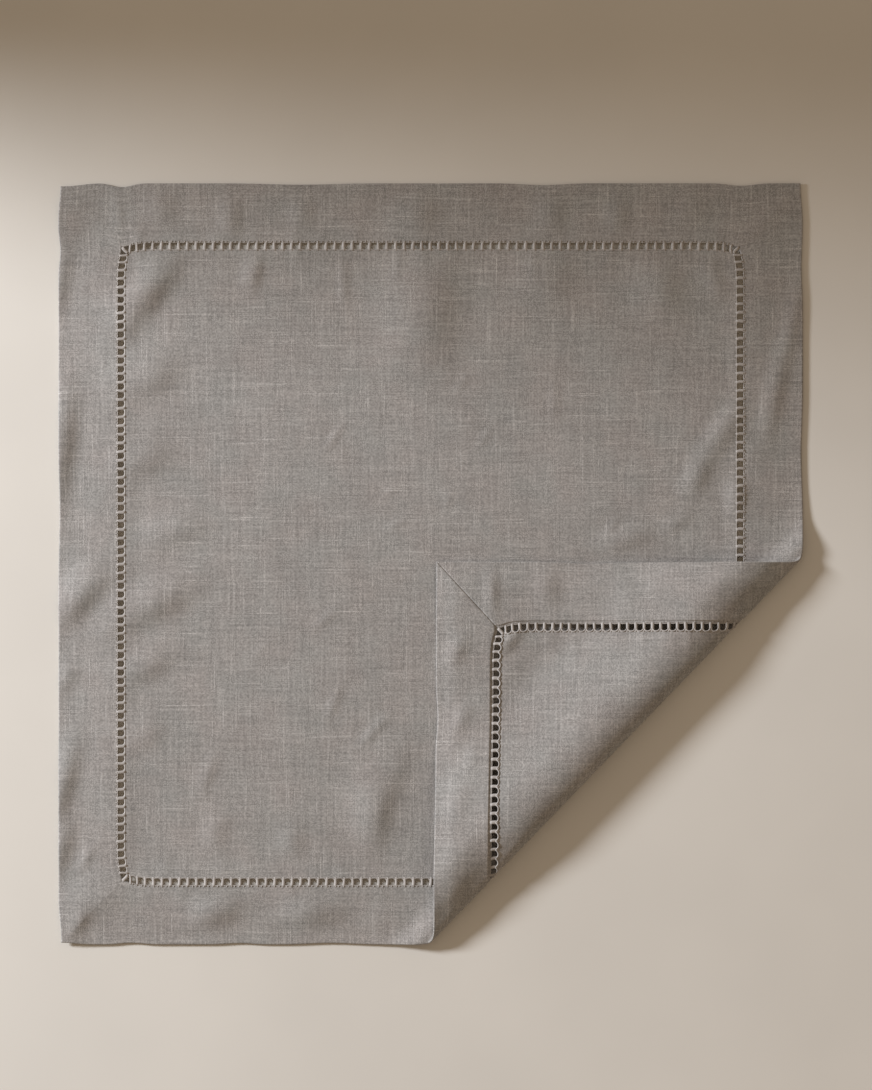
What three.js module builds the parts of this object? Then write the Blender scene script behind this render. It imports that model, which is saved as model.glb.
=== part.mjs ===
// A hemstitched linen napkin, lying flat with one corner folded over onto it.
// Millimetres, +Z up. The origin is on the table, under the middle of the cloth.
// The cloth is cut out flat, with its ladder of hemstitch gaps, and then folded by one function.
import * as THREE from 'three';

// Driving dimensions
const NAPKIN_WIDTH = 400; // hem edge to hem edge along X
const NAPKIN_LENGTH = 409; // hem edge to hem edge along Y
const HEM_WIDTH = 30.5; // outer edge to the hemstitch
const FIELD_THICKNESS = 1.0; // single cloth
const HEM_THICKNESS = 1.8; // cloth turned back on itself

// Hemstitch: a ladder of gaps between bundles of threads
const LADDER_WIDTH = 6.5; // drawn threads and the overcast edge on both sides
const GAP_LENGTH = 4; // across the ladder
const GAP_WIDTH = 2.7; // along the ladder
const GAPS_ACROSS = 70; // in each side that runs along X, without the corner gaps
const GAPS_ALONG = 72; // in each side that runs along Y, without the corner gaps
const GAPS_PER_CELL_ACROSS = 5;
const GAPS_PER_CELL_ALONG = 4;
const HEM_ROWS = 2; // rows of cells across the hem

// Folded corner: the one at +X, -Y turns over a soft roll
const FOLD_ANGLE = THREE.MathUtils.degToRad(46); // of the fold to the X axis
const FOLD_DISTANCE = 140.6; // middle of the cloth to the outermost line of the roll
const LAYER_GAP = 1.5; // between the landed flap and the field under it
const FLAP_SKEW = 0.079; // sideways pull of the bias, for each millimetre past the roll
const LEAST_RISE = 0.05; // cloth that would rise less than this lies flat on the table

// The fold's section, arc by arc, from the cloth on the table to the flap that lies on it. Each arc turns the
// cloth to a new slope, where 90 is upright and 180 is lying flat again. The straight fall before the landing
// is as long as the heights leave it.
const FOLD_ARCS = [
  { part: 'rise off the table', radius: 80, turnToDeg: 13, steps: 2 },
  { part: 'outside of the roll', radius: 3.6, turnToDeg: 100, steps: 4 },
  { part: 'shoulder of the roll', radius: 5.5, turnToDeg: 156, steps: 2 },
  { part: 'crest', radius: 30, turnToDeg: 180, steps: 2 },
  { part: 'start of the fall', radius: 50, turnToDeg: 197, steps: 2 },
  { part: 'landing', radius: 90, turnToDeg: 180, steps: 2 },
];

// Where the outer edge is drawn in. Each dip is a soft notch, half its length to either side.
const EDGE_DIPS = [
  { side: 'top', at: -198, halfLength: 24, depth: 1.6 },
  { side: 'top', at: -166, halfLength: 14, depth: 2.0 },
  { side: 'top', at: -70, halfLength: 45, depth: 0.7 },
  { side: 'top', at: 60, halfLength: 28, depth: 0.9 },
  { side: 'top', at: 167, halfLength: 18, depth: 1.3 },
  { side: 'left', at: 204, halfLength: 22, depth: 1.1 },
  { side: 'left', at: 168, halfLength: 16, depth: 1.0 },
  { side: 'left', at: 30, halfLength: 40, depth: 0.6 },
  { side: 'left', at: -202, halfLength: 26, depth: 1.5 },
  { side: 'bottom', at: -200, halfLength: 20, depth: 1.1 },
  { side: 'bottom', at: -60, halfLength: 40, depth: 0.8 },
  { side: 'right', at: 204, halfLength: 26, depth: 1.3 },
  { side: 'right', at: 160, halfLength: 30, depth: 0.7 },
  { side: 'right', at: 60, halfLength: 40, depth: 0.8 },
];

// Where the cloth stands off the table in soft puckers, by their middle, size and turn from the X axis
const PUCKERS = [
  { x: -146, y: 150, length: 60, width: 38, turnDeg: 45, height: 0.9 },
  { x: -92, y: 172, length: 110, width: 46, turnDeg: 88, height: 0.7 },
  { x: -8, y: 158, length: 130, width: 56, turnDeg: 94, height: 1.0 },
  { x: 76, y: 170, length: 110, width: 48, turnDeg: 86, height: 0.7 },
  { x: 132, y: 164, length: 90, width: 44, turnDeg: 98, height: 0.7 },
  { x: -170, y: 78, length: 100, width: 44, turnDeg: 4, height: 0.7 },
  { x: -164, y: 16, length: 110, width: 46, turnDeg: 14, height: 0.8 },
  { x: -166, y: -24, length: 100, width: 40, turnDeg: 8, height: 0.7 },
  { x: -172, y: -118, length: 90, width: 48, turnDeg: 30, height: 0.6 },
  { x: -182, y: -190, length: 60, width: 40, turnDeg: 40, height: 0.8 },
  { x: -96, y: -184, length: 90, width: 50, turnDeg: 80, height: 0.6 },
  { x: 160, y: 66, length: 90, width: 46, turnDeg: 40, height: 0.8 },
  { x: 184, y: 120, length: 80, width: 44, turnDeg: 80, height: 0.6 },
];

const HALF_WIDTH = NAPKIN_WIDTH / 2;
const HALF_LENGTH = NAPKIN_LENGTH / 2;
const LADDER_MARGIN = (LADDER_WIDTH - GAP_LENGTH) / 2; // overcast edge on each side of the gaps
const FIELD_INSET = HEM_WIDTH + LADDER_WIDTH;
const SIDES = {
  top: { along: 'x', across: 'y', outward: 1, half: HALF_LENGTH },
  bottom: { along: 'x', across: 'y', outward: -1, half: HALF_LENGTH },
  right: { along: 'y', across: 'x', outward: 1, half: HALF_WIDTH },
  left: { along: 'y', across: 'x', outward: -1, half: HALF_WIDTH },
};
const FOLD_ALONG = new THREE.Vector2(Math.cos(FOLD_ANGLE), Math.sin(FOLD_ANGLE));
const FOLD_ACROSS = new THREE.Vector2(Math.sin(FOLD_ANGLE), -Math.cos(FOLD_ANGLE));

// Soft bump: 1 in its middle, 0 with no slope from reach on
function bump(distance, reach) {
  const share = Math.min(Math.abs(distance) / reach, 1);
  return (0.5 + 0.5 * Math.cos(Math.PI * share)) ** 1.5;
}

// Distance from a flat point to the nearest outer edge
function insetOf(x, y) {
  return Math.min(HALF_WIDTH - Math.abs(x), HALF_LENGTH - Math.abs(y));
}

function thicknessAt(x, y) {
  const inside = THREE.MathUtils.clamp((insetOf(x, y) - HEM_WIDTH) / LADDER_MARGIN, 0, 1);
  return THREE.MathUtils.lerp(HEM_THICKNESS, FIELD_THICKNESS, inside);
}

// Height of the cloth's underside over the table at a place on the table
function puckerHeight(x, y) {
  let height = 0;
  for (const pucker of PUCKERS) {
    const turn = THREE.MathUtils.degToRad(pucker.turnDeg);
    const away = new THREE.Vector2(x - pucker.x, y - pucker.y).rotateAround(new THREE.Vector2(), -turn);
    const share = bump(away.x, pucker.length / 2) * bump(away.y, pucker.width / 2);
    height = Math.max(height, pucker.height * share);
  }
  return height;
}

// The flat outline is drawn in at its dips, and the pull fades out across the hem.
function drawnIn(x, y) {
  const flat = new THREE.Vector2(x, y);
  const moved = flat.clone();
  for (const { side, at, halfLength, depth } of EDGE_DIPS) {
    const { along, across, outward, half } = SIDES[side];
    const inset = half - outward * flat[across];
    const fade = THREE.MathUtils.clamp(1 - inset / HEM_WIDTH, 0, 1);
    moved[across] -= outward * depth * bump(flat[along] - at, halfLength) * fade;
  }
  return moved;
}

// The fold's section as stretches of cloth, each with its length and its slope at both ends, and the place
// on the flat cloth where it starts and where it is upright
function foldSection() {
  const stretches = [];
  const upright = Math.PI / 2;
  let slope = 0;
  let height = 0;
  let reach = 0;
  let lengthToUpright = 0;
  for (const { radius, turnToDeg, steps } of FOLD_ARCS) {
    const to = THREE.MathUtils.degToRad(turnToDeg);
    stretches.push({ length: radius * Math.abs(to - slope), from: slope, to, steps });
    height += radius * (Math.cos(slope) - Math.cos(to)) * Math.sign(to - slope);
    if (slope < upright) {
      reach += radius * (Math.sin(Math.min(to, upright)) - Math.sin(slope));
      lengthToUpright += radius * (Math.min(to, upright) - slope);
    }
    slope = to;
  }
  const landing = stretches.pop();
  const fallHeight = height - FIELD_THICKNESS - LAYER_GAP;
  const fallLength = -fallHeight / Math.sin(landing.from);
  stretches.push({ length: fallLength, from: landing.from, to: landing.from, steps: 1 }, landing);
  const start = FOLD_DISTANCE - reach;
  return { stretches, start, uprightAt: start + lengthToUpright };
}

const FOLD = foldSection();

// Place and slope on the fold's section, a given length of cloth past the middle
function foldAt(distance) {
  let left = distance - FOLD.start;
  if (left <= 0) return { out: distance, up: 0, slope: 0 };
  let out = FOLD.start;
  let up = 0;
  for (const stretch of FOLD.stretches) {
    const run = Math.min(left, stretch.length);
    const bend = (stretch.to - stretch.from) / stretch.length;
    const slope = stretch.from + bend * run;
    if (bend === 0) {
      out += run * Math.cos(slope);
      up += run * Math.sin(slope);
    } else {
      out += (Math.sin(slope) - Math.sin(stretch.from)) / bend;
      up += (Math.cos(stretch.from) - Math.cos(slope)) / bend;
    }
    left -= run;
    if (left <= 0) return { out, up, slope };
  }
  return { out: out - left, up, slope: Math.PI };
}

// Back and front face of the cloth over one flat point. The lower face carries it: the back where the
// cloth lies on the table and the front where the flap lies on the cloth.
function layDown(x, y) {
  const flat = drawnIn(x, y);
  const distance = flat.dot(FOLD_ACROSS);
  const place = foldAt(distance);
  const past = Math.max(0, distance - FOLD.uprightAt);
  const along = flat.dot(FOLD_ALONG) + FLAP_SKEW * past;
  const tableX = FOLD_ACROSS.x * place.out + FOLD_ALONG.x * along;
  const tableY = FOLD_ACROSS.y * place.out + FOLD_ALONG.y * along;
  const rise = place.up + puckerHeight(tableX, tableY);
  const carrier = new THREE.Vector3(tableX, tableY, rise < LEAST_RISE ? 0 : rise);
  const towardsFront = new THREE.Vector3(
    -Math.sin(place.slope) * FOLD_ACROSS.x,
    -Math.sin(place.slope) * FOLD_ACROSS.y,
    Math.cos(place.slope),
  );
  const turned = THREE.MathUtils.smoothstep(place.slope, 0, Math.PI);
  const thickness = thicknessAt(x, y);
  return {
    back: carrier.clone().addScaledVector(towardsFront, -thickness * turned),
    front: carrier.clone().addScaledVector(towardsFront, thickness * (1 - turned)),
  };
}

// Grid lines from one outer edge to the other: hem rows, ladder, field cells, ladder, hem rows
function gridLines(half, cells) {
  const lines = [];
  const field = half - FIELD_INSET;
  for (let i = 0; i <= HEM_ROWS; i += 1) lines.push(-half + (HEM_WIDTH * i) / HEM_ROWS);
  for (let i = 0; i <= cells; i += 1) lines.push(-field + (2 * field * i) / cells);
  for (let i = 0; i <= HEM_ROWS; i += 1) lines.push(half - HEM_WIDTH + (HEM_WIDTH * i) / HEM_ROWS);
  return lines;
}

// A stretch of the ladder, drawn from its own corner: strips along both edges and thread bars between
// the gaps, as triangles of [along, across] pairs
function ladderTriangles(length, count) {
  const pitch = length / count;
  const near = [];
  const far = [];
  for (let i = 0; i < count; i += 1) {
    for (const side of [-1, 1]) {
      const along = pitch * (i + 0.5) + (side * GAP_WIDTH) / 2;
      near.push([along, LADDER_MARGIN]);
      far.push([along, LADDER_WIDTH - LADDER_MARGIN]);
    }
  }
  const [nearStart, nearEnd] = [[0, 0], [length, 0]];
  const [farStart, farEnd] = [[0, LADDER_WIDTH], [length, LADDER_WIDTH]];
  const triangles = [];
  for (let i = 0; i + 1 < near.length; i += 1) {
    const firstHalf = i + 1 <= count;
    triangles.push([firstHalf ? nearStart : nearEnd, near[i + 1], near[i]]);
    triangles.push([firstHalf ? farStart : farEnd, far[i], far[i + 1]]);
  }
  triangles.push([nearStart, nearEnd, near[count]], [farEnd, farStart, far[count]]);
  const rungs = [[nearStart, farStart], ...near.map((low, i) => [low, far[i]]), [nearEnd, farEnd]];
  for (let i = 0; i < rungs.length; i += 2) {
    const [[lowA, highA], [lowB, highB]] = [rungs[i], rungs[i + 1]];
    triangles.push([lowA, lowB, highB], [lowA, highB, highA]);
  }
  return triangles;
}

// One cell of the flat cloth: plain cloth, or a stretch of the ladder where it lies over the drawn threads
function cellTriangles(low, high) {
  const inLadder = (inset) => inset > HEM_WIDTH && inset < FIELD_INSET;
  const insetX = HALF_WIDTH - Math.abs(low.x + high.x) / 2;
  const insetY = HALF_LENGTH - Math.abs(low.y + high.y) / 2;
  if (inLadder(insetY) && insetX > HEM_WIDTH) {
    const count = insetX > FIELD_INSET ? GAPS_PER_CELL_ACROSS : 1;
    const place = ([along, across]) => new THREE.Vector2(low.x + along, low.y + across);
    return ladderTriangles(high.x - low.x, count).map((triangle) => triangle.map(place));
  }
  if (inLadder(insetX) && insetY > HEM_WIDTH) {
    const place = ([along, across]) => new THREE.Vector2(high.x - across, low.y + along);
    return ladderTriangles(high.y - low.y, GAPS_PER_CELL_ALONG).map((triangle) => triangle.map(place));
  }
  const right = new THREE.Vector2(high.x, low.y);
  const left = new THREE.Vector2(low.x, high.y);
  return [[low, right, high], [low, high, left]];
}

// The whole cloth cut out flat, as triangles of three flat points each
function flatTriangles() {
  const linesX = gridLines(HALF_WIDTH, GAPS_ACROSS / GAPS_PER_CELL_ACROSS);
  const linesY = gridLines(HALF_LENGTH, GAPS_ALONG / GAPS_PER_CELL_ALONG);
  const triangles = [];
  for (let i = 0; i + 1 < linesX.length; i += 1) {
    for (let j = 0; j + 1 < linesY.length; j += 1) {
      const low = new THREE.Vector2(linesX[i], linesY[j]);
      const high = new THREE.Vector2(linesX[i + 1], linesY[j + 1]);
      triangles.push(...cellTriangles(low, high));
    }
  }
  return triangles;
}

// Splits every triangle that a line parallel to the fold crosses, so that the roll can bend there
function splitAcrossFold(triangles, distance) {
  const nearlyOn = 0.15; // a corner this close to the line counts as on it
  const sideOf = (point) => {
    const past = point.dot(FOLD_ACROSS) - distance;
    return Math.abs(past) < nearlyOn ? 0 : past;
  };
  const crossing = (a, b) => {
    const [low, high] = sideOf(a) < sideOf(b) ? [a, b] : [b, a];
    const share = sideOf(low) / (sideOf(low) - sideOf(high));
    return low.clone().lerp(high, share);
  };
  const split = [];
  for (const triangle of triangles) {
    const sides = triangle.map(sideOf);
    const behind = sides.filter((s) => s < 0).length;
    const beyond = sides.filter((s) => s > 0).length;
    if (!behind || !beyond) {
      split.push(triangle);
      continue;
    }
    const lone = behind === 1 && beyond === 2 ? sides.findIndex((s) => s < 0) : sides.findIndex((s) => s > 0);
    const onLine = sides.findIndex((s) => s === 0);
    const first = onLine >= 0 ? onLine : lone;
    const [a, b, c] = [0, 1, 2].map((k) => triangle[(first + k) % 3]);
    if (onLine >= 0) {
      const cut = crossing(b, c);
      split.push([a, b, cut], [a, cut, c]);
    } else {
      const cutB = crossing(a, b);
      const cutC = crossing(a, c);
      split.push([a, cutB, cutC], [cutB, b, c], [cutB, c, cutC]);
    }
  }
  return split;
}

function splitForFold(triangles) {
  let split = triangles;
  let distance = FOLD.start;
  for (const { length, steps } of FOLD.stretches) {
    for (let i = 0; i < steps; i += 1) {
      split = splitAcrossFold(split, distance + (length * i) / steps);
    }
    distance += length;
  }
  return splitAcrossFold(split, distance);
}

// Closed solid of the folded cloth: its front, its back, and a wall round its outline and every gap
function clothGeometry() {
  const corners = new Map();
  const positions = [];
  const cornerOf = (point) => {
    const key = `${point.x.toFixed(3)},${point.y.toFixed(3)}`;
    if (!corners.has(key)) {
      const { front, back } = layDown(point.x, point.y);
      corners.set(key, positions.length / 3);
      positions.push(...front.toArray(), ...back.toArray());
    }
    return corners.get(key);
  };
  const faces = splitForFold(flatTriangles()).map((triangle) => triangle.map(cornerOf));
  const edges = new Set(faces.flatMap(([a, b, c]) => [`${a} ${b}`, `${b} ${c}`, `${c} ${a}`]));
  const index = [];
  for (const [a, b, c] of faces) {
    index.push(a, b, c, c + 1, b + 1, a + 1);
    for (const [from, to] of [[a, b], [b, c], [c, a]]) {
      if (edges.has(`${to} ${from}`)) continue;
      index.push(to, from, from + 1, to, from + 1, to + 1);
    }
  }
  const geometry = new THREE.BufferGeometry();
  geometry.setAttribute('position', new THREE.Float32BufferAttribute(positions, 3));
  geometry.setIndex(index);
  geometry.computeVertexNormals();
  return geometry;
}

const linen = new THREE.MeshStandardMaterial({ color: 0x99928b, roughness: 0.95, metalness: 0 });
const cloth = new THREE.Mesh(clothGeometry(), linen);
cloth.name = 'napkin';

const napkin = new THREE.Group();
napkin.add(cloth);

export default napkin;
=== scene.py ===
import math

import bmesh
import bpy
import numpy as np
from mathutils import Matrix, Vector, noise


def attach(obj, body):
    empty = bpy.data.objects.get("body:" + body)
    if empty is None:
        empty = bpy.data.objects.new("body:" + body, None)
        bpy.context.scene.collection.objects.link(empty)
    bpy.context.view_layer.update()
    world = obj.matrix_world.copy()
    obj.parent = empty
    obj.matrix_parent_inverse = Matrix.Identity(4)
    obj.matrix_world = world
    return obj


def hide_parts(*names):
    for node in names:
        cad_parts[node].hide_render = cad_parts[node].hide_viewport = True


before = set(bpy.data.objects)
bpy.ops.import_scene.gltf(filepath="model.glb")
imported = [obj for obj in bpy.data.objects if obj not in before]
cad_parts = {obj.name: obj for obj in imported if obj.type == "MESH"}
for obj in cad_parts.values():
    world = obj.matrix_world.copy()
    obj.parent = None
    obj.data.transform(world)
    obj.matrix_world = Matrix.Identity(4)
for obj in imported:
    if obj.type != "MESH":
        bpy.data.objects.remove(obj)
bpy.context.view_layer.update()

scene = bpy.context.scene
mm = 0.001

# The napkin is drawn flat: x and y on the cloth, and the depth under its front face.
# layDown then folds its corner over and lays it on the table.
napkin = {
    "width": 400 * mm,
    "length": 409 * mm,
    "hemWidth": 30.5 * mm,
    "ladderWidth": 6.5 * mm,  # drawn threads, with the overcast edge on both sides
    "gapLength": 4.0 * mm,  # across the ladder
    "clothThickness": 0.45 * mm,
    "hemThickness": 0.95 * mm,  # cloth turned back on itself
    "hemLift": 15 * mm,  # the thicker hem holds the cloth beside it up, over this length
    "ladderLift": 1.1 * mm,  # the stitched edge stands up, and the field and the flap with it
    "slackUnder": 0.6 * mm,  # loose cloth stands this far off the table
    "slackLeast": 0.48 * mm,
    "bundlesAcross": 71,  # on the sides that run along x
    "bundlesAlong": 73,
}
halfWidth = napkin["width"] / 2
halfLength = napkin["length"] / 2
fieldInset = napkin["hemWidth"] + napkin["ladderWidth"]
ladderMiddle = napkin["hemWidth"] + napkin["ladderWidth"] / 2
ladderHalf = napkin["gapLength"] / 2
ladderStart, ladderEnd = ladderMiddle - ladderHalf, ladderMiddle + ladderHalf

# Each side of the napkin: the way along it, the way in from its edge, and its reach both ways
sides = {
    "bottom": {"along": (1, 0), "inward": (0, 1), "half": halfWidth, "edge": halfLength},
    "right": {"along": (0, 1), "inward": (-1, 0), "half": halfLength, "edge": halfWidth},
    "top": {"along": (-1, 0), "inward": (0, -1), "half": halfWidth, "edge": halfLength},
    "left": {"along": (0, -1), "inward": (1, 0), "half": halfLength, "edge": halfWidth},
}

# Folded corner, with its section arc by arc from the table to the flap
fold = {
    "angle": math.radians(46),
    "distance": 140.6 * mm,  # middle of the cloth to the outermost line of the roll
    "flapHeight": 2.4 * mm,  # front of the landed flap over the back of the cloth under it
    "edgeDroop": 1.0 * mm,  # the flap's edge sinks back towards the cloth
    "droopWidth": 12 * mm,
    "skew": 0.079,  # sideways pull of the bias
    "stiffFrom": 18.5 * mm,  # the hem rolls over more stiffly than the field, and between these
    "stiffTo": 55.5 * mm,  # distances from the edge one passes into the other
    "arcs": [  # slopes: 90 is upright, 180 lies flat again
        {"radius": 52 * mm, "turnTo": 17},
        {"radius": 3.2 * mm, "turnTo": 100},
        {"radius": 5.0 * mm, "turnTo": 156},
        {"radius": 30 * mm, "turnTo": 180},
        {"radius": 40 * mm, "turnTo": 194},
        {"radius": 60 * mm, "turnTo": 180},
    ],
    "hemRoll": [  # the hem starts up earlier, stays lower and comes down later: place and lift in mm
        {"at": 114, "lift": 0.0},
        {"at": 126, "lift": 0.5},
        {"at": 138, "lift": 1.4},
        {"at": 147, "lift": -3.2},
        {"at": 158, "lift": -2.3},
        {"at": 168, "lift": -0.5},
        {"at": 180, "lift": 0.4},
        {"at": 196, "lift": 1.1},
        {"at": 210, "lift": 1.25},
        {"at": 224, "lift": 0.2},
        {"at": 234, "lift": 0.0},
    ],
}

# Where the outline is drawn in, in mm: place along x or y, half the length, depth
edgeDips = [
    {"side": "top", "at": -198, "half": 24, "depth": 1.6},
    {"side": "top", "at": -166, "half": 14, "depth": 2.0},
    {"side": "top", "at": -70, "half": 45, "depth": 0.7},
    {"side": "top", "at": 60, "half": 28, "depth": 0.9},
    {"side": "top", "at": 167, "half": 18, "depth": 1.3},
    {"side": "left", "at": 204, "half": 22, "depth": 1.1},
    {"side": "left", "at": 168, "half": 16, "depth": 1.0},
    {"side": "left", "at": 30, "half": 40, "depth": 0.6},
    {"side": "left", "at": -202, "half": 26, "depth": 1.5},
    {"side": "bottom", "at": -200, "half": 20, "depth": 1.1},
    {"side": "bottom", "at": -161, "half": 16, "depth": 0.9},
    {"side": "bottom", "at": -103, "half": 18, "depth": 0.7},
    {"side": "bottom", "at": -54, "half": 30, "depth": 0.8},
    {"side": "bottom", "at": 120, "half": 22, "depth": 0.9},
    {"side": "right", "at": 204, "half": 26, "depth": 1.3},
    {"side": "right", "at": 160, "half": 30, "depth": 0.7},
    {"side": "right", "at": 60, "half": 40, "depth": 0.8},
    {"side": "right", "at": -120, "half": 24, "depth": 0.8},
]
cornerPulls = [  # draw the corners of the ladder in, so that they round off
    {"inset": ladderEnd, "amount": 1.6 * mm, "reach": 9 * mm},
    {"inset": ladderStart, "amount": 2.6 * mm, "reach": 5.5 * mm},
]

# Puckers and creases, in mm and degrees: middle, size, turn from x, height, and lean of the crest
creases = [
    {"x": -153, "y": 146, "length": 86, "width": 37, "turn": 51, "height": 2.5, "lean": 0.1},
    {"x": -95, "y": 156, "length": 34, "width": 18, "turn": 76, "height": 1, "lean": 0.2},
    {"x": -47, "y": 150, "length": 46, "width": 10, "turn": 91, "height": 0.44, "lean": 0.1},
    {"x": -4, "y": 136, "length": 124, "width": 76, "turn": 84, "height": 2.8, "lean": 0.15},
    {"x": 62, "y": 154, "length": 64, "width": 58, "turn": 88, "height": 1.25, "lean": 0.1},
    {"x": 123, "y": 147, "length": 62, "width": 46, "turn": 104, "height": 1.5, "lean": 0.1},
    {"x": 152, "y": 154, "length": 38, "width": 20, "turn": 112, "height": 0.75, "lean": 0},
    {"x": -152, "y": 100, "length": 64, "width": 42, "turn": 26, "height": 1.7, "lean": 0.15},
    {"x": -156, "y": 56, "length": 58, "width": 42, "turn": 12, "height": 1.7, "lean": 0.15},
    {"x": -140, "y": 17, "length": 66, "width": 34, "turn": 14, "height": 1.2, "lean": 0.1},
    {"x": -150, "y": -21, "length": 86, "width": 38, "turn": 22, "height": 2.3, "lean": 0.1},
    {"x": -154, "y": -55, "length": 56, "width": 32, "turn": 22, "height": 1.5, "lean": 0.15},
    {"x": -155, "y": -92, "length": 44, "width": 34, "turn": 16, "height": 1.0, "lean": 0.15},
    {"x": -203, "y": 186, "length": 64, "width": 62, "turn": 88, "height": 2.5, "lean": 0},
    {"x": -200, "y": 152, "length": 70, "width": 22, "turn": 80, "height": 1.4, "lean": 0},
    {"x": -199, "y": 62, "length": 130, "width": 26, "turn": 84, "height": 2.2, "lean": 0},
    {"x": -190, "y": -18, "length": 70, "width": 36, "turn": 46, "height": 2.8, "lean": 0.1},
    {"x": -197, "y": -62, "length": 36, "width": 20, "turn": 60, "height": 0.9, "lean": 0},
    {"x": -198, "y": -118, "length": 92, "width": 24, "turn": 76, "height": 1.9, "lean": 0},
    {"x": -199, "y": -152, "length": 60, "width": 22, "turn": 75, "height": 1.5, "lean": 0},
    {"x": -197, "y": -196, "length": 52, "width": 44, "turn": 90, "height": 1.4, "lean": 0},
    {"x": -189, "y": -192, "length": 32, "width": 15, "turn": 66, "height": 0.7, "lean": 0},
    {"x": -185, "y": -158, "length": 28, "width": 11, "turn": 60, "height": 0.6, "lean": 0},
    {"x": -182, "y": -180, "length": 64, "width": 42, "turn": 14, "height": 1.1, "lean": 0.1},
    {"x": -117, "y": -187, "length": 50, "width": 28, "turn": 4, "height": 1.95, "lean": 0},
    {"x": -66, "y": -187, "length": 58, "width": 28, "turn": -3, "height": 1.8, "lean": 0},
    {"x": -24, "y": -190, "length": 40, "width": 26, "turn": 20, "height": 0.4, "lean": 0},
    {"x": -116, "y": -144, "length": 40, "width": 24, "turn": 82, "height": 0.7, "lean": 0},
    {"x": -75, "y": -148, "length": 36, "width": 26, "turn": 86, "height": 0.7, "lean": 0},
    {"x": -30, "y": -138, "length": 64, "width": 36, "turn": 84, "height": 1.2, "lean": 0.2},
    {"x": -25, "y": -119, "length": 90, "width": 48, "turn": 67, "height": 1.1, "lean": 0.3},
    {"x": 156, "y": 71, "length": 56, "width": 25, "turn": 55, "height": 1.5, "lean": -0.1},
    {"x": 143, "y": 48, "length": 46, "width": 23, "turn": 66, "height": 1.2, "lean": 0},
    {"x": 164, "y": 36, "length": 34, "width": 20, "turn": 86, "height": 1.1, "lean": 0},
    {"x": 132, "y": 22, "length": 30, "width": 16, "turn": 30, "height": 0.6, "lean": 0.1},
    {"x": 104, "y": 13, "length": 50, "width": 22, "turn": 12, "height": 1.12, "lean": 0.1},
    {"x": 185, "y": 94, "length": 100, "width": 20, "turn": 79, "height": 0.98, "lean": 0},
    {"x": 194, "y": 130, "length": 70, "width": 16, "turn": 82, "height": 0.7, "lean": 0},
    {"x": -7, "y": 188, "length": 46, "width": 46, "turn": 90, "height": 1.27, "lean": 0.2},
    {"x": -145, "y": 192, "length": 34, "width": 30, "turn": 88, "height": 0.9, "lean": 0.1},
    {"x": -108, "y": 186, "length": 40, "width": 22, "turn": 86, "height": 1.05, "lean": 0},
    {"x": -70, "y": 188, "length": 36, "width": 24, "turn": 92, "height": 0.75, "lean": 0},
    {"x": 64, "y": 188, "length": 42, "width": 30, "turn": 88, "height": 1.05, "lean": 0},
    {"x": 100, "y": 187, "length": 34, "width": 20, "turn": 94, "height": 0.75, "lean": 0},
    {"x": 139, "y": 190, "length": 34, "width": 34, "turn": 92, "height": 0.75, "lean": 0},
    {"x": -168, "y": 187, "length": 52, "width": 7, "turn": 90, "height": 0.5, "lean": 0},
    {"x": -52, "y": 68, "length": 30, "width": 6, "turn": 54, "height": 0.45, "lean": 0},
    {"x": 16, "y": 96, "length": 22, "width": 6, "turn": 60, "height": 0.3, "lean": 0},
    {"x": 29, "y": 68, "length": 27, "width": 6, "turn": 56, "height": 0.3, "lean": 0},
    {"x": 10, "y": 35, "length": 22, "width": 6, "turn": 75, "height": 0.24, "lean": 0},
    {"x": -22, "y": 39, "length": 20, "width": 6, "turn": 35, "height": 0.22, "lean": 0},
    {"x": -19, "y": 21, "length": 26, "width": 8, "turn": 23, "height": 0.33, "lean": 0},
    {"x": 97, "y": 20, "length": 24, "width": 7, "turn": 58, "height": 0.35, "lean": 0},
    {"x": -57, "y": -30, "length": 32, "width": 8, "turn": 38, "height": 0.42, "lean": 0},
    {"x": -91, "y": -46, "length": 20, "width": 6, "turn": 45, "height": 0.22, "lean": 0},
    {"x": -52, "y": -74, "length": 38, "width": 9, "turn": 70, "height": 0.42, "lean": 0},
    {"x": -31, "y": -90, "length": 46, "width": 9, "turn": 47, "height": 0.48, "lean": 0},
    {"x": -120, "y": -113, "length": 46, "width": 14, "turn": 69, "height": 0.45, "lean": 0},
    {"x": 66, "y": 88, "length": 50, "width": 9, "turn": 91, "height": 0.27, "lean": 0},
]
flapCreases = [  # the same, where the folded corner lies
    {"x": 42, "y": -41, "length": 34, "width": 16, "turn": 48, "height": 1.1, "lean": 0.1},
    {"x": 14, "y": -46, "length": 34, "width": 16, "turn": 58, "height": 1.0, "lean": 0},
    {"x": 33, "y": -16, "length": 48, "width": 12, "turn": 90, "height": 0.9, "lean": 0.2},
    {"x": 62, "y": -14, "length": 40, "width": 24, "turn": 92, "height": 0.8, "lean": 0},
    {"x": 104, "y": -16, "length": 36, "width": 26, "turn": 86, "height": 0.6, "lean": 0},
    {"x": 17, "y": -82, "length": 34, "width": 13, "turn": 60, "height": 0.8, "lean": 0},
    {"x": 22, "y": -104, "length": 30, "width": 14, "turn": 66, "height": 0.6, "lean": 0.1},
    {"x": 15, "y": -128, "length": 40, "width": 18, "turn": 78, "height": 0.6, "lean": 0},
]
unevenness = [  # overall slack of the cloth: wavelength and height in mm
    {"wave": 62, "height": 0.28, "seed": 3.1},
    {"wave": 26, "height": 0.11, "seed": 11.7},
    {"wave": 9, "height": 0.018, "seed": 23.9},
]
crestPower = 1.5  # over 1, a crease has a narrower crest and a longer foot

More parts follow.
